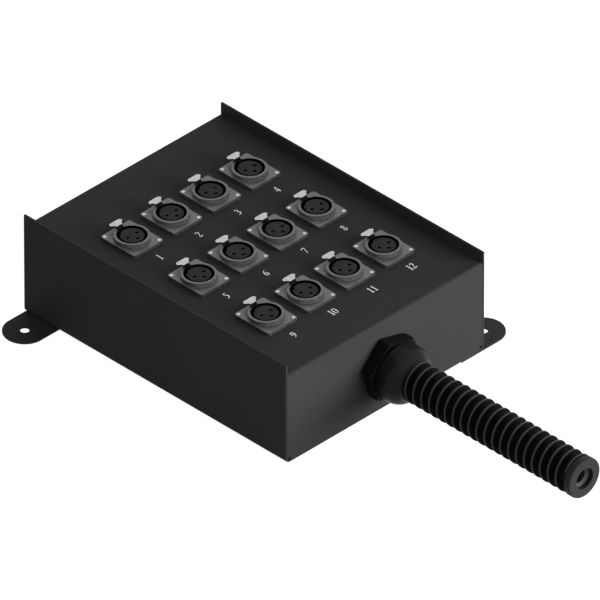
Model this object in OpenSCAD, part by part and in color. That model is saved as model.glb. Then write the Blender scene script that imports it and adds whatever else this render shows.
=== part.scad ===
// Stage box: a low steel box with twelve three-pole sockets in a recessed top panel,
// two fixing ears, and a cable gland whose nut ends in a coiled bend relief.
// +X points to the gland, +Z up. The origin lies midway between the two ear holes,
// on the ears' underside.

/* [Box] */
// Length of the box along X
box_length = 235; // [225:1:250]
// Width of the box over its two side walls
box_width = 177.5; // [175:0.5:200]
// Height of the side walls above the box's underside
wall_height = 75; // [75:0.5:90]
// Depth of the recess from the wall tops to the top panel
panel_recess = 8; // [3:0.5:12]
// Thickness of the sheet steel
sheet = 1.5; // [1.4:0.1:2]
// Outer bend radius where the side walls meet the bottom
chassis_bend = 3.5; // [3:0.1:5]
// Outer bend radius where the end panels meet the top panel
cover_bend = 2; // [1.8:0.1:2.5]
// Gap between the cover and the chassis
seam_gap = 0.2; // [0.1:0.05:0.4]

/* [Ears] */
// Thickness of an ear plate
ear_sheet = 1.2; // [1.2:0.1:1.6]
// Width of an ear, twice its end radius
ear_width = 29; // [27:0.5:32]
// Distance of the ear hole outside the side wall
ear_reach = 13.8; // [13:0.1:20]
// Length of ear plate under the box
ear_tuck = 20; // [18:0.5:22]
// Diameter of the ear's fixing hole
ear_hole_d = 6.2; // [5:0.1:8]

/* [Sockets] */
// Number of socket rows along X
socket_rows = 3; // [1:1:3]
// Number of sockets in a row
socket_columns = 4; // [2:1:4]
// Distance between rows along X
row_pitch = 60; // [55:0.5:62]
// Distance between sockets in a row
column_pitch = 35; // [31:0.5:36]
// Distance from the box's rear end to the first row
first_row = 61; // [56:0.5:64]
// Length of a socket flange along X
flange_length = 31; // [30:0.5:32]
// Width of a socket flange along Y
flange_width = 26; // [25:0.5:28]
// Thickness of a socket flange
flange_t = 2.3; // [2:0.1:3]
// Outer diameter of the raised collar at its rim
collar_d = 23.4; // [22.6:0.1:23.6]
// Height of the collar above the flange
collar_h = 2.8; // [2.4:0.1:3.4]
// Inner diameter of the shell, where the plug enters
shell_bore_d = 19.7; // [19.6:0.1:19.9]
// Outer diameter of the shell behind the panel
shell_d = 23.6; // [23.5:0.1:23.8]
// Depth of the shell below the panel
shell_depth = 19; // [17:0.5:24]
// Diameter of the insulating insert
insert_d = 16.1; // [15.8:0.1:16.3]
// Depth of the insert's face below the collar's rim
insert_recess = 0.4; // [0.2:0.1:0.8]
// Distance of the two outer contacts from the socket's middle
contact_side = 4.1; // [3.9:0.1:4.3]
// Distance of the third contact from the socket's middle
contact_front = 4.7; // [4.5:0.1:4.9]
// Outer diameter of a contact
contact_d = 2.4; // [2.2:0.1:2.5]
// Spacing of the two fixing screws along X
screw_pitch_x = 27; // [25:0.1:27]
// Spacing of the two fixing screws along Y
screw_pitch_y = 22; // [20.5:0.1:22]
// Diameter of the socket screws
socket_screw_d = 2; // [1.8:0.1:2.2]
// Length of the socket screws
socket_screw_length = 7; // [6:0.5:9]

/* [Latch] */
// Width of the latch lever
lever_width = 5.2; // [4.6:0.1:5.6]
// Thickness of the latch lever
lever_t = 1.05; // [0.95:0.05:1.1]
// Depth of the latch pivot below the panel top
pivot_depth = 7.5; // [7:0.1:8.5]
// Diameter of the latch pin
latch_pin_d = 1; // [0.9:0.05:1.1]
// Width of the push tab along Y
tab_width = 10.6; // [9.8:0.1:11.4]
// Length of the push tab along X
tab_length = 4.3; // [4:0.1:4.8]
// Height of the push tab's top above the collar
tab_height = 1.9; // [1.6:0.1:2.6]
// Thickness of the push tab
tab_t = 0.8; // [0.7:0.05:1]
// How far the tab's neck stands behind the socket's middle
tab_setback = 12.1; // [12:0.1:12.6]

/* [Gland] */
// Height of the gland's axis above the box's underside
gland_height = 33; // [30:0.5:38]
// Diameter of the gland's thread through the end panel
gland_thread_d = 32; // [31:0.5:33]
// Hexagon of the gland body across its flats
body_flats = 40; // [39:0.5:42]
// Length of the gland body's hexagon
body_hex_length = 9; // [8:0.5:12]
// Thickness of the flat gasket
gasket_t = 1; // [0.8:0.1:1.5]
// Diameter of the dome nut
nut_d = 40.4; // [40:0.2:42]
// Hexagon of the dome nut across its flats
nut_flats = 38.4; // [38:0.2:39.4]
// Length of the dome nut from its rear to its nose
nut_length = 17.2; // [16.8:0.2:19]
// Diameter of the thread between gland body and dome nut
nut_thread_d = 30; // [29:0.5:31]
// Radius of the nut's dome
dome_radius = 11.2; // [10.8:0.1:11.4]

/* [Bend relief] */
// Outer diameter of the coil
coil_d = 27.9; // [26:0.1:29]
// Inner diameter of the coil
coil_bore_d = 10; // [9:0.5:13]
// Width of one turn along the axis
coil_turn_width = 2.3; // [1.8:0.1:2.8]
// Distance from one turn to the next
coil_pitch = 7; // [6:0.1:9]
// Length of the coil from the nut's nose to the end ring
coil_length = 143.2; // [120:0.1:170]
// Thickness of the end ring
ring_t = 4.8; // [4:0.1:6]
// Diameter of the end ring's mouth
ring_bore_d = 14.9; // [13.5:0.1:18]
// Thickness of the seat behind the mouth, which narrows to the coil's bore
ring_seat_t = 1.4; // [1:0.1:2]

/* [Hidden] */
$fn = 64;
sockets = [for (i = [1:socket_rows * socket_columns]) i];
eps = 0.01;

// Heights and edges of the box, measured from the origin
base_z = ear_sheet;
floor_z = base_z + sheet;
panel_z = base_z + wall_height - panel_recess;
inner_width = box_width - 2 * sheet;
cover_width = inner_width - 2 * seam_gap;
end_x = box_length / 2;
wall_y = box_width / 2;
end_notch_y = wall_y - chassis_bend - 2 * seam_gap;

// Ears and their rivets
ear_hole_x = end_x - ear_width / 2;
ear_hole_y = wall_y + ear_reach;
rivet_d = 3.2;
rivet_head_d = 5.2;
rivet_top_h = 1;
rivet_side = 8;
rivet_inset = 11;
rivet_gap = 0.05;

// Fit of every small screw: its hole, its thread and its countersink
screw_hole_gap = 0.1;
screw_thread_gap = 0.05;
countersink_gap = 0.1;
recess_share = 0.5;
recess_width = 0.11;
recess_depth = 0.3;

// Pillars that carry the cover, and their screws
cover_screw_d = 3;
cover_screw_head_d = 5.5;
cover_screw_length = 8;
pillar_flats = 6;
pillar_foot_d = 5.4;
pillar_foot_h = 0.8;
pillar_thread_length = cover_screw_length + 1;
pillar_rear_x = -end_x + 19.5;
pillar_inset_y = 28.75;
pillar_top_z = panel_z - sheet;
cover_hole_d = cover_screw_d + 2 * screw_hole_gap;
socket_hole_d = socket_screw_d + 2 * screw_hole_gap;

// Sockets, measured from a socket's middle on the panel's top face
cutout_gap = 0.2;
cutout_d = shell_d + 2 * cutout_gap;
collar_top = flange_t + collar_h;
collar_taper = 0.5;
insert_top = collar_top - insert_recess;
flange_corner = 1.6;
shell_lip = 1;
lip_gap = 0.6;
insert_base_t = 3;
insert_base_gap = 0.1;
contact_hole_gap = 0.05;
contact_recess = 1.9;
contact_tail = 5;
contact_bore_d = 1.5;
contact_bore_depth = 10;
solder_cup_depth = 3.5;
key_width = 1.6;
key_depth = 1.1;
key_angle = 213.5;
key_floor = 0.5;
insert_edge = 0.35;
socket_screw_head_d = 1.8 * socket_screw_d;
socket_nut_flats = 2 * socket_screw_d;
socket_nut_t = 0.8 * socket_screw_d;

// Latch, in the plane across a socket's middle
latch_side_gap = 0.3;
lever_gap = 0.1;
lever_outer_x = -(shell_bore_d / 2 + lever_gap + lever_t);
lever_inner_x = lever_outer_x + lever_t;
pivot_offset = 0.4;
pivot_x = lever_outer_x + lever_t / 2 - pivot_offset;
latch_boss_d = 2;
latch_pin_gap = 0.05;
latch_pin_length = 8;
lever_tail = 3;
tooth_h = 1.6;
tooth_reach = 0.6;
arm_gap = 0.7;
arm_bottom = flange_t + arm_gap;
arm_t = 1.5;
tab_top = collar_top + tab_height;
tab_corner = 2.2;
tab_inner_width = 5.5;
spring_t = 0.25;
spring_width = 3;
spring_gap = 0.35;
spring_foot = 1;
spring_reach = 1.4;
slot_side = lever_width / 2 + latch_side_gap;
slot_run = 1;
slot_bottom = -(pivot_depth + lever_tail + slot_run);
flange_slot_gap = 1.4;
flange_slot_x = lever_outer_x - flange_slot_gap;

// Gland, measured along X from the end panel's outer face
gland_z = base_z + gland_height;
gland_hole_gap = 0.2;
gland_hole_d = gland_thread_d + 2 * gland_hole_gap;
gland_bore_d = 20;
hex_turn = 15;
hex_chamfer = 1.2;
gasket_inset = 0.75;
locknut_flats = 40;
locknut_t = 6;
thread_inside = 13;
thread_gap = 0.05;
nut_gap = 1.2;
body_front = gasket_t + body_hex_length;
nut_rear = body_front + nut_gap;
nut_nose = nut_rear + nut_length;
neck_length = 8;
nose_step = 0.05;
nose_d = coil_d - 2 * nose_step;
nose_land = 1.2;
nose_run = 1.8;
nut_edge = 0.8;
dome_sweep = 55;
dome_centre_r = nut_d / 2 - dome_radius;
dome_z = nut_length - nose_land - nose_run - dome_radius * sin(dome_sweep);
nut_bore_d = 14.9;
claw_t = 2.2;
claw_length = 4;
claw_taper = 2;
claw_slits = 8;
claw_slit = 1.4;
claw_slit_depth = 3;
claw_gap = 0.3;
seal_d = 23.4;
seal_bore_d = 10.4;
seal_gap = 0.3;
seal_seat = 2;
seal_lip = 1;
neck_bore_d = seal_d + 2 * seal_gap;
claw_d = neck_bore_d + 2 * claw_t;
claw_x = body_front + neck_length;
claw_tip_d = claw_d - claw_taper;
nut_cavity_d = nut_thread_d + 2 * thread_gap;
cone_length = 5;
cone_slope = cone_length / (nut_cavity_d - nut_bore_d);
cavity_end = claw_x + claw_length - nut_rear - cone_slope * (nut_cavity_d - claw_tip_d - 2 * claw_gap);

// Coil of the bend relief: one unbroken turn after another, six sides to its section
ring_edge = 1.2;
rings_per_turn = 24;
coil_phase = 3.68;
coil_root = 1.3;
coil_ring_overlap = 0.05;
coil_crown = 0.35;
coil_start = end_x + nut_nose;
coil_end = coil_start + coil_length;
coil_first_x = coil_start - coil_root;
coil_last_x = coil_end + coil_ring_overlap - coil_turn_width / 2;
coil_turns = (coil_last_x - coil_first_x) / coil_pitch;
coil_steps = ceil(coil_turns * rings_per_turn);
coil_first_turn = (coil_first_x + end_x - coil_phase) / coil_pitch;
coil_section = [
    [-coil_turn_width / 2, coil_bore_d / 2],
    [coil_turn_width / 2, coil_bore_d / 2],
    [coil_turn_width / 2, coil_d / 2 - coil_crown],
    [coil_turn_width / 2 - coil_crown, coil_d / 2],
    [-coil_turn_width / 2 + coil_crown, coil_d / 2],
    [-coil_turn_width / 2, coil_d / 2 - coil_crown]
];
coil_sides = len(coil_section);

steel_black = [0.09, 0.09, 0.095];
steel_ear = [0.11, 0.11, 0.115];
cast_grey = [0.45, 0.45, 0.44];
bright = [0.78, 0.78, 0.77];
zinc = [0.62, 0.63, 0.64];
nylon_black = [0.04, 0.04, 0.04];
rubber_black = [0.07, 0.07, 0.07];
insert_black = [0.12, 0.12, 0.12];
silver = [0.8, 0.78, 0.72];

// Middle of socket i on the panel's top face
function socket_row(i) = floor((i - 1) / socket_columns);
function socket_column(i) = (i - 1) % socket_columns;
function socket_x(i) = -end_x + first_row + row_pitch * socket_row(i);
function socket_y(i) = column_pitch * (socket_column(i) - (socket_columns - 1) / 2);
function socket_place(i) = [socket_x(i), socket_y(i), panel_z];

// Points of an arc in the plane of a profile
function arc(centre, radius, from, to, steps) = [
    for (k = [0:steps])
        let (a = from + (to - from) * k / steps)
            centre + radius * [cos(a), sin(a)]
];

// Plate with round corners, lying on the XY plane and centred there
module round_plate(size_x, size_y, thickness, corner) {
    linear_extrude(thickness) {
        square([size_x - 2 * corner, size_y], center = true);
        square([size_x, size_y - 2 * corner], center = true);
        for (x = [-1, 1], y = [-1, 1])
            translate([x * (size_x / 2 - corner), y * (size_y / 2 - corner)])
                circle(corner);
    }
}

// Channel section with its web down, opening upwards, as a flat shape
module channel_outline(width, height, thickness, bend) {
    difference() {
        rounded_bottom(width, height, bend);
        translate([0, thickness])
            rounded_bottom(width - 2 * thickness, height, bend - thickness);
    }
}

module rounded_bottom(width, height, bend) {
    translate([-width / 2, bend])
        square([width, height - bend]);
    translate([-width / 2 + bend, 0])
        square([width - 2 * bend, height]);
    for (side = [-1, 1])
        translate([side * (width / 2 - bend), bend])
            circle(bend);
}

// Hexagon prism along Z, given across its flats, with a corner at angle zero
module hex_prism(flats, length) {
    cylinder(d = flats / cos(30), h = length, $fn = 6);
}

// Turns a solid built along Z so that it lies along X on the gland's axis
module on_gland_axis(x) {
    translate([end_x + x, 0, gland_z])
        rotate([0, 90, 0])
            children();
}

// The front pillars stand midway between the last row of sockets and the end panel
module at_pillars() {
    pillar_front_x = (socket_x(len(sockets)) + flange_length / 2 + end_x) / 2;
    for (x = [pillar_rear_x, pillar_front_x], y = [-1, 1])
        translate([x, y * (wall_y - pillar_inset_y), 0])
            children();
}

module at_rivets() {
    for (side = [-1, 1], step = [-1, 1])
        translate([side * ear_hole_x + step * rivet_side, side * (wall_y - rivet_inset), 0])
            children();
}

module at_socket_screws() {
    for (i = sockets, side = [-1, 1])
        translate(socket_place(i) + [side * screw_pitch_x / 2, side * screw_pitch_y / 2, 0])
            children();
}

// Countersunk hole or head, widest at z = 0 and narrowing downwards
module countersink(head_d, shank_d) {
    translate([0, 0, -(head_d - shank_d) / 2])
        cylinder(d1 = shank_d, d2 = head_d, h = (head_d - shank_d) / 2);
}

// Screw with its flat head up at z = 0 and a cross recess
module countersunk_screw(shank_d, head_d, length) {
    cross = [recess_share * head_d, recess_width * head_d, recess_depth * shank_d];
    difference() {
        union() {
            countersink(head_d, shank_d);
            translate([0, 0, -length])
                cylinder(d = shank_d, h = length - (head_d - shank_d) / 2 + eps);
        }
        for (turn = [0, 90])
            rotate(turn)
                translate([-cross[0] / 2, -cross[1] / 2, -cross[2]])
                    cube(cross + [0, 0, eps]);
    }
}

module chassis() {
    color(steel_black)
        difference() {
            translate([-end_x, 0, base_z])
                rotate([90, 0, 90])
                    linear_extrude(box_length)
                        channel_outline(box_width, wall_height, sheet, chassis_bend);
            for (side = [-1, 1])
                translate([side * end_x, 0, base_z])
                    cube([2 * (sheet + seam_gap), 2 * end_notch_y, 2 * sheet + eps], center = true);
            at_pillars()
                translate([0, 0, base_z]) {
                    translate([0, 0, -eps])
                        cylinder(d = cover_hole_d, h = sheet + 2 * eps);
                    mirror([0, 0, 1])
                        countersink(cover_screw_head_d + 2 * countersink_gap, cover_hole_d);
                }
            at_rivets()
                translate([0, 0, base_z - eps])
                    cylinder(d = rivet_d + 2 * rivet_gap, h = sheet + 2 * eps);
        }
}

// One ear at the origin's +Y side, with its fixing hole on the Z axis
module ear_plate() {
    difference() {
        linear_extrude(ear_sheet) {
            circle(d = ear_width);
            translate([-ear_width / 2, -(ear_reach + ear_tuck)])
                square([ear_width, ear_reach + ear_tuck]);
        }
        translate([0, 0, -eps])
            cylinder(d = ear_hole_d, h = ear_sheet + 2 * eps);
        for (step = [-1, 1])
            translate([step * rivet_side, -(ear_reach + rivet_inset), 0]) {
                translate([0, 0, -eps])
                    cylinder(d = rivet_d + 2 * rivet_gap, h = ear_sheet + 2 * eps);
                mirror([0, 0, 1])
                    countersink(rivet_head_d + 2 * rivet_gap, rivet_d + 2 * rivet_gap);
            }
    }
}

module ear_right() {
    color(steel_ear)
        translate([ear_hole_x, ear_hole_y, 0])
            ear_plate();
}

module ear_left() {
    color(steel_ear)
        rotate(180)
            translate([ear_hole_x, ear_hole_y, 0])
                ear_plate();
}

module ear_rivets() {
    color(zinc)
        at_rivets() {
            mirror([0, 0, 1])
                countersink(rivet_head_d, rivet_d);
            cylinder(d = rivet_d, h = floor_z + eps);
            translate([0, 0, floor_z])
                cylinder(d1 = rivet_head_d, d2 = rivet_d, h = rivet_top_h);
        }
}

module cover() {
    cover_h = panel_z - base_z;
    color(steel_black)
        difference() {
            translate([0, cover_width / 2, panel_z])
                rotate([90, 0, 0])
                    linear_extrude(cover_width)
                        mirror([0, 1])
                            channel_outline(box_length, cover_h, sheet, cover_bend);
            for (side = [-1, 1], end = [-1, 1])
                translate([end * end_x, side * wall_y, base_z])
                    cube([4 * sheet, 2 * (wall_y - end_notch_y + seam_gap), 2 * chassis_bend], center = true);
            for (i = sockets)
                translate(socket_place(i) - [0, 0, sheet + eps])
                    cylinder(d = cutout_d, h = sheet + 2 * eps);
            at_socket_screws()
                translate([0, 0, -sheet - eps])
                    cylinder(d = socket_hole_d, h = sheet + 2 * eps);
            at_pillars()
                translate([0, 0, pillar_top_z - eps])
                    cylinder(d = pillar_foot_d + 2 * rivet_gap, h = pillar_foot_h + eps);
            on_gland_axis(-sheet - eps)
                cylinder(d = gland_hole_d, h = sheet + 2 * eps);
        }
}

module cover_pillars() {
    color(zinc)
        at_pillars()
            difference() {
                union() {
                    translate([0, 0, floor_z])
                        hex_prism(pillar_flats, pillar_top_z - floor_z);
                    translate([0, 0, pillar_top_z - eps])
                        cylinder(d = pillar_foot_d, h = pillar_foot_h);
                }
                translate([0, 0, floor_z - eps])
                    cylinder(d = cover_screw_d + 2 * screw_thread_gap, h = pillar_thread_length);
            }
}

module cover_screws() {
    color(zinc)
        at_pillars()
            translate([0, 0, base_z])
                mirror([0, 0, 1])
                    countersunk_screw(cover_screw_d, cover_screw_head_d, cover_screw_length);
}

// Flange, collar and tube of one socket, cast in one piece, with the latch's slot
module socket_shell() {
    color(cast_grey)
        difference() {
            union() {
                round_plate(flange_length, flange_width, flange_t, flange_corner);
                translate([0, 0, -shell_depth])
                    cylinder(d = shell_d, h = shell_depth + eps);
                translate([0, 0, flange_t - eps])
                    cylinder(d1 = collar_d + 2 * collar_taper, d2 = collar_d, h = collar_h + eps);
            }
            translate([0, 0, -shell_depth + shell_lip])
                cylinder(d = shell_bore_d, h = shell_depth + collar_top);
            translate([0, 0, -shell_depth - eps])
                cylinder(d = insert_d + 2 * lip_gap, h = shell_lip + 2 * eps);
            for (side = [-1, 1])
                translate([side * screw_pitch_x / 2, side * screw_pitch_y / 2, 0]) {
                    translate([0, 0, -eps])
                        cylinder(d = socket_hole_d, h = flange_t + 2 * eps);
                    translate([0, 0, flange_t])
                        countersink(socket_screw_head_d + 2 * countersink_gap, socket_hole_d);
                }
            translate([-shell_d, -slot_side, slot_bottom])
                cube([shell_d - insert_d / 2, 2 * slot_side, -slot_bottom]);
            translate([flange_slot_x, -slot_side, -eps])
                cube([-flange_slot_x - insert_d / 2, 2 * slot_side, flange_t + 2 * eps]);
            translate([-collar_d, -slot_side, flange_t])
                cube([collar_d - insert_d / 2, 2 * slot_side, collar_h + eps]);
            translate([pivot_x, 0, -pivot_depth])
                rotate([90, 0, 0])
                    cylinder(d = latch_pin_d + 2 * eps, h = latch_pin_length + 2 * eps, center = true);
        }
}

// Insulating insert with three contact holes and a key groove, on its base disc
module socket_insert() {
    insert_bottom = -shell_depth + shell_lip;
    insert_base_r = shell_bore_d / 2 - insert_base_gap;
    key_bottom = insert_bottom + insert_base_t + key_floor;
    color(insert_black)
        difference() {
            rotate_extrude()
                polygon([
                    [0, insert_bottom],
                    [insert_base_r, insert_bottom],
                    [insert_base_r, insert_bottom + insert_base_t],
                    [insert_d / 2, insert_bottom + insert_base_t],
                    [insert_d / 2, insert_top - insert_edge],
                    [insert_d / 2 - insert_edge, insert_top],
                    [0, insert_top]
                ]);
            at_contacts()
                translate([0, 0, insert_bottom - eps])
                    cylinder(d = contact_d + 2 * contact_hole_gap, h = insert_top - insert_bottom + 2 * eps);
            rotate(key_angle)
                translate([insert_d / 2 - key_depth, -key_width / 2, key_bottom])
                    cube([key_depth + 1, key_width, insert_top - insert_bottom]);
        }
}

module at_contacts() {
    for (place = [[0, contact_side], [0, -contact_side], [contact_front, 0]])
        translate([place[0], place[1], 0])
            children();
}

// Female contact with its plug bore above and its solder cup below
module socket_contact() {
    top = collar_top - contact_recess;
    bottom = -shell_depth - contact_tail;
    difference() {
        translate([0, 0, bottom])
            cylinder(d = contact_d, h = top - bottom, $fn = 32);
        translate([0, 0, top - contact_bore_depth])
            cylinder(d = contact_bore_d, h = contact_bore_depth + eps, $fn = 32);
        translate([0, 0, bottom - eps])
            cylinder(d = contact_bore_d, h = solder_cup_depth, $fn = 32);
        translate([0, -contact_d, bottom - eps])
            cube([contact_d, 2 * contact_d, solder_cup_depth]);
    }
}

// Latch lever with its tooth, pivot boss, arm, neck and push tab
module socket_latch() {
    lever_bottom = -pivot_depth - lever_tail;
    color(bright)
        difference() {
            union() {
                translate([lever_outer_x, -lever_width / 2, lever_bottom])
                    cube([lever_t, lever_width, arm_bottom + arm_t - lever_bottom]);
                translate([pivot_x, lever_width / 2, -pivot_depth])
                    rotate([90, 0, 0])
                        cylinder(d = latch_boss_d, h = lever_width, $fn = 32);
                translate([-tab_setback, -lever_width / 2, arm_bottom])
                    cube([tab_setback + lever_outer_x + eps, lever_width, arm_t]);
                translate([-tab_setback, -lever_width / 2, arm_bottom])
                    cube([lever_t, lever_width, tab_top - arm_bottom]);
                translate([lever_inner_x, lever_width / 2, 0])
                    rotate([90, 0, 0])
                        linear_extrude(lever_width)
                            polygon([[-eps, -tooth_h / 2], [tooth_reach, -tooth_h / 2], [-eps, tooth_h / 2]]);
                translate([0, 0, tab_top - tab_t])
                    linear_extrude(tab_t)
                        tab_outline();
            }
            translate([pivot_x, 0, -pivot_depth])
                rotate([90, 0, 0])
                    cylinder(d = latch_pin_d + 2 * latch_pin_gap, h = lever_width + 2 * eps, center = true);
        }
}

// Push tab seen from above: round outer corners, narrowing to the neck
module tab_outline() {
    corner_x = -tab_setback - tab_length + tab_corner;
    corner_y = tab_width / 2 - tab_corner;
    neck_x = -tab_setback + lever_t;
    polygon(concat(
        [[neck_x, lever_width / 2], [-tab_setback, tab_inner_width / 2]],
        arc([corner_x, corner_y], tab_corner, 90, 180, 8),
        arc([corner_x, -corner_y], tab_corner, 180, 270, 8),
        [[-tab_setback, -tab_inner_width / 2], [neck_x, -lever_width / 2]]
    ));
}

// Leaf spring behind the lever's tail, drawn as bent when the tab is pressed
module latch_spring() {
    foot_z = -shell_depth + shell_lip + insert_base_t;
    spring_top = -pivot_depth - lever_tail + spring_reach;
    spring_x = lever_inner_x + spring_gap;
    translate([spring_x, -spring_width / 2, foot_z])
        cube([spring_t, spring_width, spring_top - foot_z]);
    translate([spring_x, -spring_width / 2, foot_z])
        cube([spring_foot, spring_width, spring_t]);
}

module socket_screws() {
    color(bright)
        at_socket_screws()
            translate([0, 0, flange_t])
                countersunk_screw(socket_screw_d, socket_screw_head_d, socket_screw_length);
}

module socket_nuts() {
    color(zinc)
        at_socket_screws()
            translate([0, 0, -sheet - socket_nut_t])
                difference() {
                    hex_prism(socket_nut_flats, socket_nut_t);
                    translate([0, 0, -eps])
                        cylinder(d = socket_screw_d + 2 * screw_thread_gap, h = socket_nut_t + 2 * eps);
                }
}

module socket_contacts() {
    color(silver)
        for (i = sockets)
            translate(socket_place(i))
                at_contacts()
                    socket_contact();
}

module latch_pins() {
    color(zinc)
        for (i = sockets)
            translate(socket_place(i) + [pivot_x, 0, -pivot_depth])
                rotate([90, 0, 0])
                    cylinder(d = latch_pin_d, h = latch_pin_length, center = true, $fn = 32);
}

module latch_springs() {
    color(zinc)
        for (i = sockets)
            translate(socket_place(i))
                latch_spring();
}

module gland_gasket() {
    color(rubber_black)
        on_gland_axis(0)
            difference() {
                cylinder(d = body_flats - 2 * gasket_inset, h = gasket_t);
                translate([0, 0, -eps])
                    cylinder(d = gland_hole_d, h = gasket_t + 2 * eps);
            }
}

// Hexagon with its outer corners turned off at both ends
module chamfered_hex(flats, length, chamfer) {
    corner_r = flats / cos(30) / 2;
    intersection() {
        rotate(hex_turn)
            hex_prism(flats, length);
        rotate_extrude()
            polygon([
                [0, 0],
                [corner_r - chamfer, 0],
                [corner_r, chamfer],
                [corner_r, length - chamfer],
                [corner_r - chamfer, length],
                [0, length]
            ]);
    }
}

// Threaded body: a stub through the panel, the hexagon outside and a neck for the nut
module gland_body() {
    color(nylon_black)
        difference() {
            union() {
                on_gland_axis(gasket_t)
                    chamfered_hex(body_flats, body_hex_length, hex_chamfer);
                on_gland_axis(-thread_inside)
                    cylinder(d = gland_thread_d, h = thread_inside + gasket_t + eps);
                on_gland_axis(body_front - eps)
                    cylinder(d = nut_thread_d, h = neck_length);
            }
            on_gland_axis(-thread_inside - eps)
                cylinder(d = gland_bore_d, h = thread_inside + body_front);
            on_gland_axis(body_front - seal_seat)
                cylinder(d = neck_bore_d, h = neck_length + seal_seat + eps);
        }
}

module gland_locknut() {
    color(nylon_black)
        on_gland_axis(-sheet - locknut_t)
            difference() {
                chamfered_hex(locknut_flats, locknut_t, hex_chamfer);
                translate([0, 0, -eps])
                    cylinder(d = gland_thread_d + 2 * thread_gap, h = locknut_t + 2 * eps);
            }
}

// Ring of fingers that the nut closes on the seal
module gland_claw() {
    color(nylon_black)
        on_gland_axis(claw_x)
            difference() {
                cylinder(d1 = claw_d, d2 = claw_tip_d, h = claw_length);
                translate([0, 0, -eps])
                    cylinder(d = neck_bore_d, h = claw_length + 2 * eps);
                for (k = [0:claw_slits - 1])
                    rotate(k * 360 / claw_slits)
                        translate([0, -claw_slit / 2, claw_length - claw_slit_depth])
                            cube([claw_d, claw_slit, claw_slit_depth + eps]);
            }
}

module gland_seal() {
    seal_length = neck_length + seal_seat + claw_length - seal_lip;
    color(rubber_black)
        on_gland_axis(body_front - seal_seat)
            difference() {
                cylinder(d = seal_d, h = seal_length);
                translate([0, 0, -eps])
                    cylinder(d = seal_bore_d, h = seal_length + 2 * eps);
            }
}

// Outline of the nut from its rear to its nose: straight, domed, then a fillet to the nose
function nut_outline() = concat(
    [[0, 0], [nut_d / 2 - nut_edge, 0], [nut_d / 2, nut_edge]],
    arc([dome_centre_r, dome_z], dome_radius, 0, dome_sweep, 16),
    [[nose_d / 2, nut_length - nose_land], [nose_d / 2, nut_length], [0, nut_length]]
);

module dome_nut() {
    color(nylon_black)
        on_gland_axis(nut_rear)
            difference() {
                intersection() {
                    rotate_extrude()
                        polygon(nut_outline());
                    rotate(hex_turn)
                        hex_prism(nut_flats, nut_length);
                }
                translate([0, 0, -eps])
                    cylinder(d = nut_cavity_d, h = cavity_end + eps);
                translate([0, 0, cavity_end])
                    cylinder(d1 = nut_cavity_d, d2 = nut_bore_d, h = cone_length);
                translate([0, 0, -eps])
                    cylinder(d = nut_bore_d, h = nut_length + 2 * eps);
            }
}

// Point k of the coil's path, turned and moved along its axis
function coil_point(step, corner) =
    let (
        part = step / coil_steps,
        turn = coil_first_turn + coil_turns * part,
        along = coil_first_x + (coil_last_x - coil_first_x) * part + corner[0],
        angle = 360 * turn
    )
    [along, corner[1] * cos(angle), corner[1] * sin(angle) + gland_z];

coil_points = [for (step = [0:coil_steps]) for (corner = coil_section) coil_point(step, corner)];
coil_faces = concat(
    [[for (k = [0:coil_sides - 1]) k]],
    [[for (k = [coil_sides - 1:-1:0]) coil_steps * coil_sides + k]],
    [for (step = [0:coil_steps - 1]) for (k = [0:coil_sides - 1])
        let (a = step * coil_sides + k, b = step * coil_sides + (k + 1) % coil_sides)
            [a, a + coil_sides, b]],
    [for (step = [0:coil_steps - 1]) for (k = [0:coil_sides - 1])
        let (a = step * coil_sides + k, b = step * coil_sides + (k + 1) % coil_sides)
            [b, a + coil_sides, b + coil_sides]]
);

// Least gap between a turn's front edge and the next turn's rear edge, measured on their points
coil_gaps = [
    for (step = [0:coil_steps - rings_per_turn - 2]) for (near = [-2:2])
        norm(coil_point(step + rings_per_turn + near, coil_section[0]) - coil_point(step, coil_section[1]))
];
echo(least_gap_between_turns = min(coil_gaps));

module bend_relief_coil() {
    color(nylon_black)
        polyhedron(coil_points, coil_faces);
}

module bend_relief_ring() {
    ring_r = coil_d / 2;
    color(rubber_black)
        on_gland_axis(coil_end - end_x)
            difference() {
                rotate_extrude()
                    polygon(concat(
                        [[0, 0], [ring_r, 0]],
                        arc([ring_r - ring_edge, ring_t - ring_edge], ring_edge, 0, 90, 6),
                        [[0, ring_t]]
                    ));
                translate([0, 0, ring_seat_t])
                    cylinder(d = ring_bore_d, h = ring_t - ring_seat_t + eps);
                translate([0, 0, -eps])
                    cylinder(d1 = coil_bore_d, d2 = ring_bore_d, h = ring_seat_t + 2 * eps);
            }
}

chassis();
cover();
ear_left();
ear_right();
ear_rivets();
cover_pillars();
cover_screws();
gland_gasket();
gland_body();
gland_locknut();
gland_claw();
gland_seal();
dome_nut();
bend_relief_coil();
bend_relief_ring();
socket_screws();
socket_nuts();
socket_contacts();
latch_pins();
latch_springs();
for (i = sockets) {
    translate(socket_place(i)) socket_shell();
    translate(socket_place(i)) socket_insert();
    translate(socket_place(i)) socket_latch();
}
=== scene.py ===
"""Stage box snake: finishes, numerals, a fine coil, studio light and camera, in metres."""
import math

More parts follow.
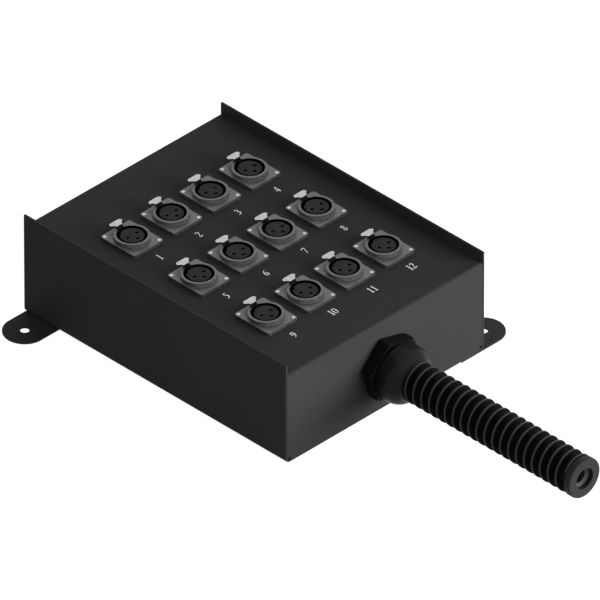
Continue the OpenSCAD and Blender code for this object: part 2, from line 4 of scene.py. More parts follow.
import bmesh
import bpy
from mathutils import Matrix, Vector

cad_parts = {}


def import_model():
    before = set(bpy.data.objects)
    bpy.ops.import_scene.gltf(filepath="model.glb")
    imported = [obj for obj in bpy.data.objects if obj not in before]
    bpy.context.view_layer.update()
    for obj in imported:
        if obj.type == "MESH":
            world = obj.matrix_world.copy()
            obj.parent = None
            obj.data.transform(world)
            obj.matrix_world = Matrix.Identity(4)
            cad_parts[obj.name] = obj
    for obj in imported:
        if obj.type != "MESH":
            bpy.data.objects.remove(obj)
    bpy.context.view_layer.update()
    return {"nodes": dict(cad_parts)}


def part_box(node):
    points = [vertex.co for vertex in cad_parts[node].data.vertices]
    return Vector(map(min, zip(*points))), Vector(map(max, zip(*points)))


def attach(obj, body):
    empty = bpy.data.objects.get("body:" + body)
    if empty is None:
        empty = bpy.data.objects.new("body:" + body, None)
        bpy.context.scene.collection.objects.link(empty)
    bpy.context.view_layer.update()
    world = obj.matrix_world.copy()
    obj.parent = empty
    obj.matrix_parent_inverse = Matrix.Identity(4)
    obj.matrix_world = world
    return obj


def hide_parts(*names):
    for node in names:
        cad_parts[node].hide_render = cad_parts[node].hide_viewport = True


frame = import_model()
nodes = frame["nodes"]

MM = 0.001
SOCKETS = range(1, 13)
COLUMNS = 4
ZINC_NODES = ("ear_rivets", "cover_pillars", "cover_screws", "socket_nuts", "latch_pins", "latch_springs")

# Camera: a far telephoto, so that parallel edges stay parallel as in the photograph
CAMERA_AZIMUTH = math.radians(45)
CAMERA_ELEVATION = math.radians(35.264)
CAMERA_DISTANCE = 17.4
CAMERA_LENS = 1650
SENSOR_WIDTH = 36
CAMERA_TARGET = Vector((0.0345, 0.0068, 0.0384))
CLIP_START = 1.0
CLIP_END = 60.0

# Light: a wide soft panel beyond the gland's end, a low one behind, a small one in front, and an even dome
DOME_LEVEL = 0.4
BACKGROUND_WHITE = 1.0
KEY_PLACE = Vector((2.42, 1.1, 0.57))
KEY_SIZE = (2.1, 1.0)
KEY_POWER = 146
KEY_AIM = Vector((0.1, 0, 0.05))
KEY_COLOUR = (0.97, 0.99, 1.04)
BACK_PLACE = Vector((-2.2, 2.6, 0.9))
BACK_SIZE = (3.2, 1.6)
BACK_POWER = 45
BACK_AIM = Vector((0, 0, 0.05))
SIDE_PLACE = Vector((1.7, -1.7, 0.5))
SIDE_SIZE = (1.2, 0.8)
SIDE_POWER = 5.5
SIDE_AIM = Vector((0, -0.05, 0.05))

# Floor: a grey that catches the shadow, under a glow that brings it up to white
FLOOR_HALF = 9.0
FLOOR_COLOUR = (0.32, 0.32, 0.32, 1)
FLOOR_GLOW = 0.93
WHITE = (1, 1, 1, 1)

# Inside this radius a socket's shell is painted black as shade down its bore
BORE_SHADE_R = 10.05 * MM
# Flange screws: their place from the socket's middle, and how far out the head carries a painted glint
SCREW_PLACE = (13.5 * MM, 11 * MM)
SCREW_GLINT_R = 0.95 * MM
# Inside this radius the end ring shows its bore, with painted shade on the bore's wall and painted light on
# the seat behind it
RING_INSIDE_R = 7.4 * MM
# Depth of the latch's bright pad, painted light on faces that point up, and of the lever's painted shade
# fading to black, from the latch's top
PAD_DEPTH = 0.7 * MM
LEVER_SHADE_DEPTH = 4.2 * MM
# Between these depths under its face, the insert goes from grey to black as painted shade
INSERT_FACE_DEPTH = 0.2 * MM
INSERT_BLACK_DEPTH = 0.6 * MM
# Depth below the coil's crown where painted shade has turned the grooves fully black
COIL_SHADE_DEPTH = 0.27 * MM

# Edge wear: how far the bevelled normal has to turn before wear starts, and where it is full
WEAR_START = 0.02
WEAR_FULL = 0.3
BEVEL_SAMPLES = 6

# Places of the mix node's colour sockets, whose names repeat
MIX_INPUTS = (0, 6, 7)
MIX_OUTPUT = 2

# Rounding of the CAD meshes' edges
WELD_DISTANCE = 0.0005 * MM
NORMAL_WEIGHT = 60

# Numerals on the panel, with lengths along and across in shares of the height
NUMERAL_HEIGHT = 5.9 * MM
NUMERAL_OFFSET = 24.6 * MM
NUMERAL_STEP = 0.56
DIGIT_WIDTH = 0.5
PAINT_THICKNESS = 0.05 * MM
STROKE_LIFT = 0.004 * MM
STROKE_SAMPLES = 7

# Coil of the bend relief, on the sizes of the CAD coil
COIL_PITCH = 7.0 * MM
COIL_PHASE = 3.68 * MM
COIL_BORE_R = 5.0 * MM
COIL_CROWN_EDGE = 0.9 * MM
COIL_INNER_EDGE = 0.3 * MM
COIL_EDGE_STEPS = 4
COIL_RINGS_PER_TURN = 72
COIL_TURN_WIDTH = 2.3 * MM


def box_of(name):
    low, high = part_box(name)
    return Vector(low), Vector(high)


def middle_of(name):
    low, high = box_of(name)
    return (low + high) / 2


def socket_middle(number):
    return middle_of(f"socket_insert_{number}")


def coil_crown():
    """Outer radius of the bend relief's coil."""
    low, high = box_of("bend_relief_coil")
    return (high.y - low.y) / 2


def grey(level):
    """Linear colour of an sRGB grey from 0 to 255."""
    share = level / 255
    value = share / 12.92 if share <= 0.04045 else ((share + 0.055) / 1.055) ** 2.4
    return (value, value, value, 1)


def link_piece(name, data):
    """Puts a new object with this mesh, lamp or camera into the scene."""
    piece = bpy.data.objects.new(name, data)
    bpy.context.scene.collection.objects.link(piece)
    return piece


def mesh_piece(name, mesh, material):
    """Turns a mesh that is ready into a piece, with its faces outward."""
    bmesh.ops.recalc_face_normals(mesh, faces=mesh.faces)
    data = bpy.data.meshes.new(name)
    mesh.to_mesh(data)
    mesh.free()
    piece = link_piece(name, data)
    data.materials.append(material)
    return piece


class Finish:
    """A material's node tree, with short ways to add what most finishes need."""

    def __init__(self, name):
        self.material = bpy.data.materials.new(name)
        self.material.use_nodes = True
        self.tree = self.material.node_tree
        self.tree.nodes.clear()
        self.output = self.add("ShaderNodeOutputMaterial")
        self.shader = self.add("ShaderNodeBsdfPrincipled")
        self.link(self.shader.outputs["BSDF"], self.output.inputs["Surface"])
        self.place = self.add("ShaderNodeTexCoord").outputs["Object"]

    def add(self, kind):
        return self.tree.nodes.new(kind)

    def link(self, source, target):
        self.tree.links.new(source, target)

    def set(self, **values):
        """Values that are the same all over the surface."""
        names = {"metallic": "Metallic", "specular": "Specular IOR Level"}
        for key, value in values.items():
            self.shader.inputs[names[key]].default_value = value

    def feed(self, socket, value):
        """Gives a socket a fixed value, or links it where the value is another socket."""
        if isinstance(value, bpy.types.NodeSocket):
            self.link(value, socket)
        else:
            socket.default_value = value

    def noise(self, size, detail, roughness=0.5):
        """Noise whose grains are about size metres across."""
        node = self.add("ShaderNodeTexNoise")
        node.inputs["Scale"].default_value = 1 / size
        node.inputs["Detail"].default_value = detail
        node.inputs["Roughness"].default_value = roughness
        self.link(self.place, node.inputs["Vector"])
        return node.outputs["Fac"]

    def speckle(self, size):
        """Rounded cells about size metres across."""
        node = self.add("ShaderNodeTexVoronoi")
        node.inputs["Scale"].default_value = 1 / size
        self.link(self.place, node.inputs["Vector"])
        return node.outputs["Distance"]

    def ramp(self, source, low, high, start=0.0, end=1.0):
        """Number that runs from low to high while source runs from start to end."""
        node = self.add("ShaderNodeMapRange")
        node.inputs["From Min"].default_value = start
        node.inputs["From Max"].default_value = end
        node.inputs["To Min"].default_value = low
        node.inputs["To Max"].default_value = high
        self.link(source, node.inputs["Value"])
        return node.outputs["Result"]

    def mix(self, share, first, second):
        """Colour between two colours, each a tuple or a socket."""
        node = self.add("ShaderNodeMix")
        node.data_type = "RGBA"
        for index, value in zip(MIX_INPUTS, (share, first, second)):
            self.feed(node.inputs[index], value)
        return node.outputs[MIX_OUTPUT]

    def maths(self, operation, *values):
        node = self.add("ShaderNodeMath")
        node.operation = operation
        for socket, value in zip(node.inputs, values):
            self.feed(socket, value)
        return node.outputs[0]

    def axes(self, source):
        """The three parts of a place or normal."""
        split = self.add("ShaderNodeSeparateXYZ")
        self.link(source, split.inputs["Vector"])
        return split.outputs["X"], split.outputs["Y"], split.outputs["Z"]

    def facing(self):
        """The three parts of the piece's own normal."""
        return self.axes(self.add("ShaderNodeTexCoord").outputs["Normal"])

    def length(self, first, second):
        """Length of the flat vector with these two parts."""
        first_square = self.maths("MULTIPLY", first, first)
        second_square = self.maths("MULTIPLY", second, second)
        return self.maths("SQRT", self.maths("ADD", first_square, second_square))

    def gland_radius(self):
        """Distance from the gland's axis, which runs along X."""
        axis = middle_of("bend_relief_coil")
        across, above = self.axes(self.place)[1:]
        return self.length(self.maths("SUBTRACT", across, axis.y), self.maths("SUBTRACT", above, axis.z))

    def from_socket(self):
        """Place along X and Y from the middle of the nearest socket."""
        first = socket_middle(1)
        pitch = (socket_middle(COLUMNS + 1).x - first.x, socket_middle(2).y - first.y)
        parts = []
        for value, start, step in zip(self.axes(self.place), first, pitch):
            away = self.maths("SUBTRACT", value, start)
            parts.append(self.maths("WRAP", away, step / 2, -step / 2))
        return parts

    def screw_radius(self):
        """Distance from the axis of the nearest flange screw."""
        along, across = self.from_socket()
        radii = []
        for side in (-1, 1):
            away = self.maths("SUBTRACT", along, side * SCREW_PLACE[0])
            aside = self.maths("SUBTRACT", across, side * SCREW_PLACE[1])
            radii.append(self.length(away, aside))
        return self.maths("MINIMUM", *radii)

    def worn(self, base, radius, share, level):
        """The base colour, with up to this share of a paler grey along the edges."""
        return self.mix(self.ramp(self.edge_wear(radius), 0.0, share), base, grey(level))

    def edge_wear(self, radius):
        """Share from 0 on flat faces to 1 on edges, from the bevelled normal's turn."""
        bevel = self.add("ShaderNodeBevel")
        bevel.samples = BEVEL_SAMPLES
        bevel.inputs["Radius"].default_value = radius
        plain = self.add("ShaderNodeNewGeometry")
        turn = self.add("ShaderNodeVectorMath")
        turn.operation = "DOT_PRODUCT"
        self.link(bevel.outputs["Normal"], turn.inputs[0])
        self.link(plain.outputs["Normal"], turn.inputs[1])
        return self.ramp(turn.outputs["Value"], 1.0, 0.0, 1 - WEAR_FULL, 1 - WEAR_START)

    def colour(self, source):
        self.link(source, self.shader.inputs["Base Color"])

    def rough(self, source):
        self.link(source, self.shader.inputs["Roughness"])

    def bump(self, height, distance, strength):
        node = self.add("ShaderNodeBump")
        node.inputs["Strength"].default_value = strength
        node.inputs["Distance"].default_value = distance
        self.link(height, node.inputs["Height"])
        self.link(node.outputs["Normal"], self.shader.inputs["Normal"])


def powder_coat(name, level):
    """Fine-grained black powder coat over sheet steel, a little paler where an edge is worn."""
    finish = Finish(name)
    grain = finish.noise(0.55 * MM, 3)
    cloud = finish.noise(26 * MM, 3)
    speck = finish.speckle(0.9 * MM)
    base = finish.mix(grain, grey(level - 4), grey(level + 5))
    base = finish.mix(finish.ramp(cloud, 0.0, 0.22, 0.35, 0.7), base, grey(level + 8))
    finish.colour(finish.worn(base, 0.35 * MM, 0.3, level + 34))
    finish.rough(finish.ramp(cloud, 0.5, 0.62, 0.3, 0.7))
    finish.set(specular=0.025)
    height = finish.maths("ADD", grain, finish.maths("MULTIPLY", speck, 0.5))
    finish.bump(height, 0.035 * MM, 0.35)
    return finish.material


def casting():
    """Dull tumbled nickel over a zinc casting, mottled at the scale of its grain, and painted shade
    blackening the bore.
    """
    finish = Finish("socket_casting")
    mottle = finish.noise(1.5 * MM, 4, 0.65)
    grain = finish.noise(0.35 * MM, 2)
    base = finish.mix(finish.ramp(mottle, 0.0, 1.0, 0.36, 0.64), grey(92), grey(124))
    base = finish.mix(finish.ramp(grain, 0.0, 0.4), base, grey(92))
    base = finish.worn(base, 0.3 * MM, 0.3, 160)
    # Painted shade: the shell turns near black inside the bore radius
    radius = finish.length(*finish.from_socket())
    inside = finish.ramp(radius, 1.0, 0.0, BORE_SHADE_R - 0.15 * MM, BORE_SHADE_R + 0.1 * MM)
    finish.colour(finish.mix(inside, base, grey(6)))
    finish.rough(finish.ramp(mottle, 0.36, 0.48, 0.35, 0.65))
    finish.set(metallic=0.82, specular=0.2)
    finish.bump(finish.maths("ADD", mottle, grain), 0.06 * MM, 0.4)
    return finish.material


def bright_metal(name, level, roughness, mark_size):
    """Bright plated steel with faint handling marks."""
    finish = Finish(name)
    marks = finish.noise(mark_size, 4, 0.6)
    finish.colour(finish.mix(finish.ramp(marks, 0.0, 1.0, 0.3, 0.7), grey(level - 12), grey(level)))
    finish.rough(finish.ramp(marks, roughness - 0.05, roughness + 0.1, 0.3, 0.7))
    finish.set(metallic=1.0)
    finish.bump(marks, 0.01 * MM, 0.3)
    return finish.material


def screw_metal():
    """Plated screws, with a painted glint: bright round the recess and dull at the rim."""
    finish = Finish("screw_nickel")
    marks = finish.noise(1.2 * MM, 4, 0.6)
    bright = finish.mix(marks, grey(226), grey(250))
    dull = finish.mix(marks, grey(104), grey(128))
    radius = finish.screw_radius()
    # Painted glint: the head is near white close to its axis and dull further out
    outer = finish.ramp(radius, 0.0, 1.0, SCREW_GLINT_R - 0.1 * MM, SCREW_GLINT_R + 0.2 * MM)
    finish.colour(finish.mix(outer, bright, dull))
    finish.rough(finish.ramp(outer, 0.16, 0.34))
    finish.set(metallic=1.0)
    finish.bump(marks, 0.01 * MM, 0.3)
    return finish.material


def ring_nylon():
    """Dark grey nylon of the end ring, with painted shade blackening its bore wall and painted light on the
    paler seat down in it.
    """
    finish = Finish("end_ring_nylon")
    grain = finish.noise(0.6 * MM, 3)
    forward = finish.facing()[0]
    radius = finish.gland_radius()
    within = finish.ramp(radius, 1.0, 0.0, RING_INSIDE_R - 0.1 * MM, RING_INSIDE_R + 0.1 * MM)
    base = finish.worn(finish.mix(grain, grey(38), grey(46)), 0.4 * MM, 0.5, 56)
    # Painted shade blackens the bore's wall; painted light makes the seat that faces out paler
    bore_shade_and_seat_light = finish.mix(finish.ramp(forward, 0.0, 1.0, 0.05, 0.25), grey(2), grey(64))
    finish.colour(finish.mix(within, base, bore_shade_and_seat_light))
    finish.rough(finish.ramp(grain, 0.45, 0.58))
    finish.set(specular=0.04)
    finish.bump(grain, 0.03 * MM, 0.35)
    return finish.material


def latch_metal():
    """Bright plated push tab, its bright colour painted only on faces that point up near the top as painted
    light, on a lever whose colour fades to black lower down as painted shade in the bore.
    """
    finish = Finish("latch_nickel")
    marks = finish.noise(2.5 * MM, 4, 0.6)
    height = finish.axes(finish.place)[2]
    top = box_of("socket_latch_1")[1].z
    bright = finish.mix(finish.ramp(marks, 0.0, 1.0, 0.3, 0.7), grey(176), grey(200))
    # Painted shade: the lever fades to near black lower down in the bore
    lever_shade = finish.mix(finish.ramp(height, 0.0, 1.0, top - LEVER_SHADE_DEPTH, top), grey(12), grey(66))
    # Painted light: the bright plate colour goes only on faces that point up near the top
    upward_lit = finish.ramp(finish.facing()[2], 0.0, 1.0, 0.35, 0.8)
    raised = finish.ramp(height, 0.0, 1.0, top - PAD_DEPTH, top - PAD_DEPTH + 0.4 * MM)
    finish.colour(finish.mix(finish.maths("MULTIPLY", upward_lit, raised), lever_shade, bright))
    finish.rough(finish.ramp(marks, 0.3, 0.45, 0.3, 0.7))
    finish.set(metallic=0.9, specular=0.3)
    finish.bump(marks, 0.01 * MM, 0.3)
    return finish.material


def insert_plastic():
    """Dark grey insulating plastic, with painted shade turning it black down its holes and groove."""
    finish = Finish("insert_plastic")
    grain = finish.noise(0.5 * MM, 3)
    cloud = finish.noise(4 * MM, 3)
    face = box_of("socket_insert_1")[1].z
    height = finish.axes(finish.place)[2]
    base = finish.mix(grain, grey(43), grey(51))
    base = finish.mix(finish.ramp(cloud, 0.0, 0.5, 0.4, 0.7), base, grey(40))
    # Painted shade: black down the holes and groove, below the face
    deep = finish.ramp(height, 1.0, 0.0, face - INSERT_BLACK_DEPTH, face - INSERT_FACE_DEPTH)
    finish.colour(finish.mix(deep, base, grey(3)))
    finish.rough(finish.ramp(cloud, 0.5, 0.62, 0.3, 0.7))
    finish.set(specular=0.03)
    finish.bump(grain, 0.02 * MM, 0.3)
    return finish.material


def moulded(name, level, roughness, grain_size, specular, wear_level):
    """Moulded plastic or rubber with a fine spark-eroded grain, and edges paler by wear_level."""
    finish = Finish(name)
    grain = finish.noise(grain_size, 3)
    cloud = finish.noise(9 * MM, 3)
    base = finish.mix(grain, grey(level - 2), grey(level + 4))
    base = finish.mix(finish.ramp(cloud, 0.0, 0.4, 0.4, 0.7), base, grey(level + 5))
    finish.colour(finish.worn(base, 0.4 * MM, 0.6, level + wear_level))
    finish.rough(finish.ramp(cloud, roughness - 0.06, roughness + 0.08, 0.3, 0.7))
    finish.set(specular=specular)
    finish.bump(grain, 0.03 * MM, 0.35)
    return finish.material


def coil_nylon():
    """Black nylon of the coil: painted shade makes it near black down in the grooves, and it is greyer on
    the crowns.
    """
    finish = Finish("coil_nylon")
    grain = finish.noise(0.5 * MM, 3)
    crown = coil_crown()
    # Painted shade: below the crown the coil turns near black down into the grooves
    crown_share = finish.ramp(finish.gland_radius(), 0.0, 1.0, crown - COIL_SHADE_DEPTH, crown)
    deep = finish.mix(grain, grey(4), grey(9))
    crown_grey = finish.mix(grain, grey(58), grey(76))
    finish.colour(finish.mix(crown_share, deep, crown_grey))
    finish.rough(finish.ramp(grain, 0.5, 0.64))
    finish.set(specular=0.04)
    finish.bump(grain, 0.03 * MM, 0.35)
    return finish.material


def paint():
    """White silk-screened paint."""
    finish = Finish("numeral_paint")
    grain = finish.noise(0.3 * MM, 2)
    finish.colour(finish.mix(grain, grey(226), grey(244)))
    finish.rough(finish.ramp(grain, 0.45, 0.6))
    finish.set(specular=0.3)
    finish.bump(grain, 0.01 * MM, 0.3)
    return finish.material


def wear(node_name, material, bevel=0.0, segments=2, angle=35):
    """Gives a CAD node its material and, where a bevel is given, softly rounded edges."""
    piece = nodes[node_name]
    piece.data.materials.clear()
    piece.data.materials.append(material)
    if bevel:
        weld = piece.modifiers.new("weld", "WELD")
        weld.merge_threshold = WELD_DISTANCE
        rounding = piece.modifiers.new("rounding", "BEVEL")
        rounding.width = bevel
        rounding.segments = segments
        rounding.limit_method = "ANGLE"
        rounding.angle_limit = math.radians(angle)
        rounding.use_clamp_overlap = True
        smooth = piece.modifiers.new("smooth", "WEIGHTED_NORMAL")
        smooth.mode = "FACE_AREA_WITH_ANGLE"
        smooth.weight = NORMAL_WEIGHT


# Numerals: each stroke is a run of (x, y, width), in shares of the numeral's height
THIN = 0.045
HAIR = 0.03
THICK = 0.125
STROKES = {
    "0": [[(0.25, 0.98, THIN), (0.07, 0.78, 0.1), (0.05, 0.5, THICK), (0.07, 0.22, 0.1),
           (0.25, 0.02, THIN), (0.43, 0.22, 0.1), (0.45, 0.5, THICK), (0.43, 0.78, 0.1),
           (0.25, 0.98, THIN)]],
    "1": [[(0.27, 0.02, THICK), (0.27, 0.5, THICK), (0.27, 0.98, THICK)],
          [(0.28, 0.97, 0.05), (0.2, 0.91, 0.05), (0.1, 0.86, HAIR)],
          [(0.1, 0.02, THIN), (0.27, 0.03, THIN), (0.44, 0.02, THIN)]],
    "2": [[(0.03, 0.72, HAIR), (0.09, 0.9, 0.07), (0.24, 0.95, 0.09), (0.38, 0.82, THICK),
           (0.36, 0.6, 0.11), (0.22, 0.34, 0.06), (0.04, 0.07, 0.05)],
          [(0.03, 0.06, 0.1), (0.22, 0.06, 0.12), (0.42, 0.06, 0.11)],
          [(0.42, 0.06, 0.07), (0.46, 0.12, 0.05), (0.49, 0.22, HAIR)]],
    "3": [[(0.05, 0.8, HAIR), (0.12, 0.92, 0.07), (0.24, 0.96, 0.08), (0.36, 0.84, 0.11),
           (0.34, 0.66, 0.09), (0.18, 0.54, THIN)],
          [(0.18, 0.54, THIN), (0.34, 0.48, 0.09), (0.41, 0.3, THICK), (0.34, 0.1, 0.1),
           (0.18, 0.03, 0.06), (0.05, 0.08, 0.1)]],
    "4": [[(0.35, 0.0, 0.11), (0.35, 0.5, 0.11), (0.35, 0.99, 0.11)],
          [(0.32, 0.97, THIN), (0.18, 0.64, THIN), (0.03, 0.3, THIN)],
          [(0.02, 0.28, 0.09), (0.25, 0.28, 0.09), (0.5, 0.28, 0.09)]],
    "5": [[(0.14, 0.93, 0.12), (0.3, 0.93, 0.12), (0.44, 0.95, 0.11)],
          [(0.14, 0.97, HAIR), (0.11, 0.78, HAIR), (0.08, 0.6, HAIR)],
          [(0.08, 0.6, 0.05), (0.24, 0.6, 0.1), (0.38, 0.46, THICK), (0.39, 0.24, THICK), (0.26, 0.07, 0.08),
           (0.04, 0.05, 0.09)]],
    "6": [[(0.45, 0.98, HAIR), (0.27, 0.88, 0.08), (0.12, 0.64, 0.11), (0.07, 0.36, THICK),
           (0.13, 0.12, 0.1), (0.26, 0.03, THIN)],
          [(0.26, 0.03, THIN), (0.4, 0.12, 0.1), (0.43, 0.32, THICK), (0.37, 0.52, 0.09), (0.24, 0.58, THIN),
           (0.1, 0.48, THIN)]],
    "7": [[(0.05, 0.92, 0.11), (0.25, 0.93, 0.12), (0.46, 0.93, 0.11)],
          [(0.06, 0.95, THIN), (0.03, 0.84, HAIR), (0.01, 0.74, HAIR)],
          [(0.45, 0.9, 0.07), (0.33, 0.5, 0.08), (0.2, 0.0, 0.09)]],
    "8": [[(0.25, 0.97, THIN), (0.11, 0.88, 0.09), (0.12, 0.7, 0.1), (0.3, 0.5, 0.11),
           (0.42, 0.3, 0.11), (0.4, 0.12, 0.09), (0.25, 0.03, THIN), (0.09, 0.12, 0.09),
           (0.09, 0.3, 0.09), (0.22, 0.47, THIN), (0.37, 0.66, 0.07), (0.39, 0.86, 0.08),
           (0.25, 0.97, THIN)]],
}
# A nine is a six turned upside down
STROKES["9"] = [[(DIGIT_WIDTH - x, 1 - y, width) for x, y, width in stroke] for stroke in STROKES["6"]]


def smooth_run(points):
    """Smooth curve through the points, closed where the last repeats the first."""
    vectors = [Vector(point) for point in points]
    closed = points[0] == points[-1]
    ahead_of_first = vectors[-2] if closed else vectors[0]
    behind_last = vectors[1] if closed else vectors[-1]
    padded = [ahead_of_first, *vectors, behind_last]
    run = []
    for before, start, end, after in zip(padded, padded[1:], padded[2:], padded[3:]):
        for step in range(STROKE_SAMPLES):
            share = step / STROKE_SAMPLES
            run.append(0.5 * (
                2 * start
                + (end - before) * share
                + (2 * before - 5 * start + 4 * end - after) * share ** 2
                + (3 * start - before - 3 * end + after) * share ** 3
            ))
    run.append(vectors[-1])
    return run


def add_stroke(mesh, run, place, lift):
    """Adds one stroke as a thin closed strip of paint, its top raised by lift."""
    top = PAINT_THICKNESS + lift
    loops = []
    for index, point in enumerate(run):
        ahead = run[min(index + 1, len(run) - 1)] - run[max(index - 1, 0)]
        side = Vector((-ahead.y, ahead.x)).normalized() * point.z / 2
        ring = []
        for sign, height in ((1, 0), (-1, 0), (-1, top), (1, top)):
            across, along = point.x + sign * side.x, point.y + sign * side.y
            ring.append(mesh.verts.new(place(across, along, height)))
        loops.append(ring)
    for first, second in zip(loops, loops[1:]):
        for k in range(4):
            mesh.faces.new((first[k], first[(k + 1) % 4], second[(k + 1) % 4], second[k]))
    mesh.faces.new(loops[0])
    mesh.faces.new(reversed(loops[-1]))


def numeral(number, material):
    """White numeral in front of its socket: its top points to the box's rear, it reads along +Y."""
    middle = socket_middle(number)
    panel_z = box_of("cover")[1].z
    text = str(number)
    width = NUMERAL_STEP * (len(text) - 1) + DIGIT_WIDTH
    mesh = bmesh.new()
    for position, digit in enumerate(text):
        shift = position * NUMERAL_STEP - width / 2

        def place(across, along, height):
            return (
                middle.x + NUMERAL_OFFSET + (0.5 - along) * NUMERAL_HEIGHT,
                middle.y + (across + shift) * NUMERAL_HEIGHT,
                panel_z + height,
            )

        for order, stroke in enumerate(STROKES[digit]):
            add_stroke(mesh, smooth_run(stroke), place, order * STROKE_LIFT)
    piece = mesh_piece(f"numeral_{number}", mesh, material)
    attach(piece, "root")


def coil_profile(half_width, crown):
    """Section of one turn: flat sides, a round-edged crown and a slightly rounded inside."""
    inner = COIL_INNER_EDGE
    outer = COIL_CROWN_EDGE
    corners = (
        (-half_width + inner, COIL_BORE_R + inner, inner, 270, 180),
        (-half_width + outer, crown - outer, outer, 180, 90),
        (half_width - outer, crown - outer, outer, 90, 0),
        (half_width - inner, COIL_BORE_R + inner, inner, 0, -90),
    )
    section = []
    for along, radius, size, start, end in corners:
        for step in range(COIL_EDGE_STEPS + 1):
            angle = math.radians(start + (end - start) * step / COIL_EDGE_STEPS)
            section.append((along + size * math.cos(angle), radius + size * math.sin(angle)))
    return section


def coil(material):
    """The bend relief's coil with round edges, in the CAD coil's place."""
    low, high = box_of("bend_relief_coil")
    axis = middle_of("bend_relief_coil")
    rear = box_of("chassis")[0].x
    half = COIL_TURN_WIDTH / 2
    first_x = low.x + half
    last_x = high.x - half
    turns = (last_x - first_x) / COIL_PITCH
    steps = round(turns * COIL_RINGS_PER_TURN)
    section = coil_profile(half, coil_crown())
    mesh = bmesh.new()
    rings = []
    for step in range(steps + 1):
        along = first_x + (last_x - first_x) * step / steps
        angle = 2 * math.pi * (along - rear - COIL_PHASE) / COIL_PITCH
        rings.append([
            mesh.verts.new((
                along + shift,
                axis.y + radius * math.cos(angle),
                axis.z + radius * math.sin(angle),
            ))
            for shift, radius in section
        ])
    count = len(section)
    for ring, following in zip(rings, rings[1:]):
        for k in range(count):
            beside = (k + 1) % count
            face = mesh.faces.new((ring[k], following[k], following[beside], ring[beside]))
            face.smooth = True
    mesh.faces.new(rings[0])
    mesh.faces.new(list(reversed(rings[-1])))
    piece = mesh_piece("fine_coil", mesh, material)
    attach(piece, "nut")
    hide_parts("bend_relief_coil")


def dress():
    """Gives every node its finish, and adds the numerals and the fine coil."""
    sheet = powder_coat("box_powder_coat", 48)
    ear_sheet = powder_coat("ear_powder_coat", 50)
    cast = casting()
    tab = latch_metal()
    screw = screw_metal()
    zinc = bright_metal("zinc_plate", 190, 0.38, 2.0 * MM)
    silver = bright_metal("contact_plate", 205, 0.28, 1.0 * MM)
    insert = insert_plastic()
    # The gland body's nylon is a darker grey than the dome nut's, as painted shade on the body
    nylon = moulded("gland_nylon", 14, 0.45, 0.7 * MM, 0.04, 34)
    satin = moulded("nut_nylon", 20, 0.34, 0.7 * MM, 0.07, 36)
    ring = ring_nylon()
    rubber = moulded("gasket_rubber", 26, 0.6, 0.6 * MM, 0.2, 10)
    wear("chassis", sheet, 0.25 * MM)
    wear("cover", sheet, 0.25 * MM)
    wear("ear_left", ear_sheet, 0.25 * MM)
    wear("ear_right", ear_sheet, 0.25 * MM)
    for name in ZINC_NODES:
        wear(name, zinc)
    wear("socket_screws", screw)
    wear("socket_contacts", silver)
    wear("gland_gasket", rubber, 0.25 * MM)
    wear("gland_seal", rubber)
    wear("gland_locknut", nylon, 0.3 * MM)
    wear("gland_claw", nylon)
    wear("gland_body", nylon, 0.5 * MM, 3, 24)
    wear("dome_nut", satin, 0.5 * MM, 3, 24)
    wear("bend_relief_ring", ring, 0.2 * MM)
    for number in SOCKETS:
        wear(f"socket_shell_{number}", cast, 0.3 * MM, 3)
        wear(f"socket_insert_{number}", insert, 0.12 * MM)
        wear(f"socket_latch_{number}", tab, 0.22 * MM, 3)
    white = paint()
    for number in SOCKETS:
        numeral(number, white)
    coil(coil_nylon())


def seen_directly(tree):
    """1 for rays from the camera and for what metal and glass show, else 0."""
    path = tree.nodes.new("ShaderNodeLightPath")
    total = path.outputs["Is Camera Ray"]
    for name in ("Is Glossy Ray", "Is Transmission Ray"):
        join = tree.nodes.new("ShaderNodeMath")
        join.operation = "MAXIMUM"
        tree.links.new(total, join.inputs[0])
        tree.links.new(path.outputs[name], join.inputs[1])
        total = join.outputs[0]
    return total


def floor():
    """Pale floor that shows white behind the object and keeps a soft shadow."""
    mesh = bpy.data.meshes.new("studio_floor")
    corners = [(x * FLOOR_HALF, y * FLOOR_HALF, 0) for x, y in ((-1, -1), (1, -1), (1, 1), (-1, 1))]
    mesh.from_pydata(corners, [], [(0, 1, 2, 3)])
    piece = link_piece("studio_floor", mesh)
    material = bpy.data.materials.new("studio_floor")
    material.use_nodes = True
    tree = material.node_tree
    tree.nodes.clear()
    add = tree.nodes.new
    output = add("ShaderNodeOutputMaterial")
    diffuse = add("ShaderNodeBsdfDiffuse")
    diffuse.inputs["Color"].default_value = FLOOR_COLOUR
    glow = add("ShaderNodeEmission")
    glow.inputs["Color"].default_value = WHITE
    seen = seen_directly(tree)
    strength = add("ShaderNodeMath")
    strength.operation = "MULTIPLY"
    strength.inputs[1].default_value = FLOOR_GLOW
    total = add("ShaderNodeAddShader")
    link = tree.links.new
    link(seen, strength.inputs[0])
    link(strength.outputs[0], glow.inputs["Strength"])
    link(diffuse.outputs[0], total.inputs[0])
    link(glow.outputs[0], total.inputs[1])
    link(total.outputs[0], output.inputs["Surface"])
    mesh.materials.append(material)


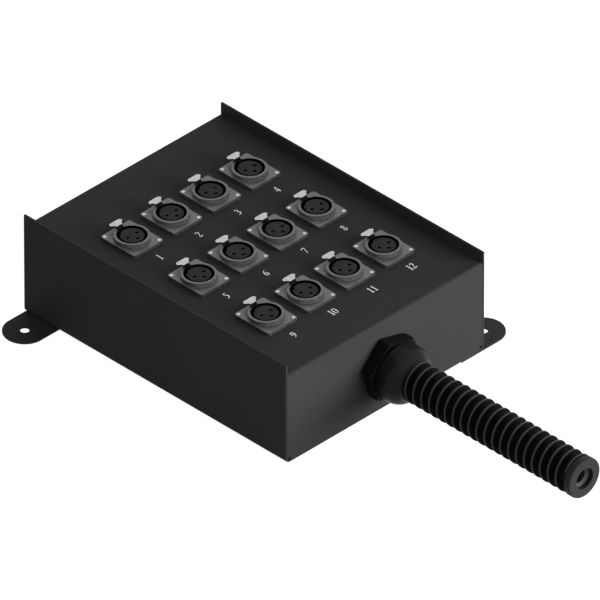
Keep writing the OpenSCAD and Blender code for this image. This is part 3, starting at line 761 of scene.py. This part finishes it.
def world():
    """Even dome light, white where it is seen directly."""
    studio = bpy.data.worlds.new("studio")
    bpy.context.scene.world = studio
    studio.use_nodes = True
    tree = studio.node_tree
    tree.nodes.clear()
    output = tree.nodes.new("ShaderNodeOutputWorld")
    background = tree.nodes.new("ShaderNodeBackground")
    background.inputs["Color"].default_value = WHITE
    level = tree.nodes.new("ShaderNodeMapRange")
    level.inputs["To Min"].default_value = DOME_LEVEL
    level.inputs["To Max"].default_value = BACKGROUND_WHITE
    tree.links.new(seen_directly(tree), level.inputs["Value"])
    tree.links.new(level.outputs["Result"], background.inputs["Strength"])
    tree.links.new(background.outputs[0], output.inputs["Surface"])


def lamp(name, place, size, power, aim, colour=(1, 1, 1)):
    """Soft rectangular lamp, unseen itself."""
    data = bpy.data.lights.new(name, "AREA")
    data.shape = "RECTANGLE"
    data.size = size[0]
    data.size_y = size[1]
    data.energy = power
    data.color = colour
    piece = link_piece(name, data)
    piece.location = place
    piece.rotation_mode = "QUATERNION"
    piece.rotation_quaternion = (place - aim).to_track_quat("Z", "Y")
    piece.visible_camera = False
    piece.visible_glossy = False


def camera():
    """Camera at the photograph's viewing angle."""
    data = bpy.data.cameras.new("camera")
    data.lens = CAMERA_LENS
    data.sensor_width = SENSOR_WIDTH
    data.clip_start = CLIP_START
    data.clip_end = CLIP_END
    piece = link_piece("camera", data)
    back = Vector((
        math.sin(CAMERA_AZIMUTH) * math.cos(CAMERA_ELEVATION),
        -math.cos(CAMERA_AZIMUTH) * math.cos(CAMERA_ELEVATION),
        math.sin(CAMERA_ELEVATION),
    ))
    piece.location = CAMERA_TARGET + back * CAMERA_DISTANCE
    piece.rotation_mode = "QUATERNION"
    piece.rotation_quaternion = (-back).to_track_quat("-Z", "Y")
    bpy.context.scene.camera = piece


camera()
world()
floor()
lamp("key", KEY_PLACE, KEY_SIZE, KEY_POWER, KEY_AIM, KEY_COLOUR)
lamp("side", SIDE_PLACE, SIDE_SIZE, SIDE_POWER, SIDE_AIM)
lamp("back", BACK_PLACE, BACK_SIZE, BACK_POWER, BACK_AIM)
dress()
bpy.context.scene.view_settings.view_transform = "Standard"
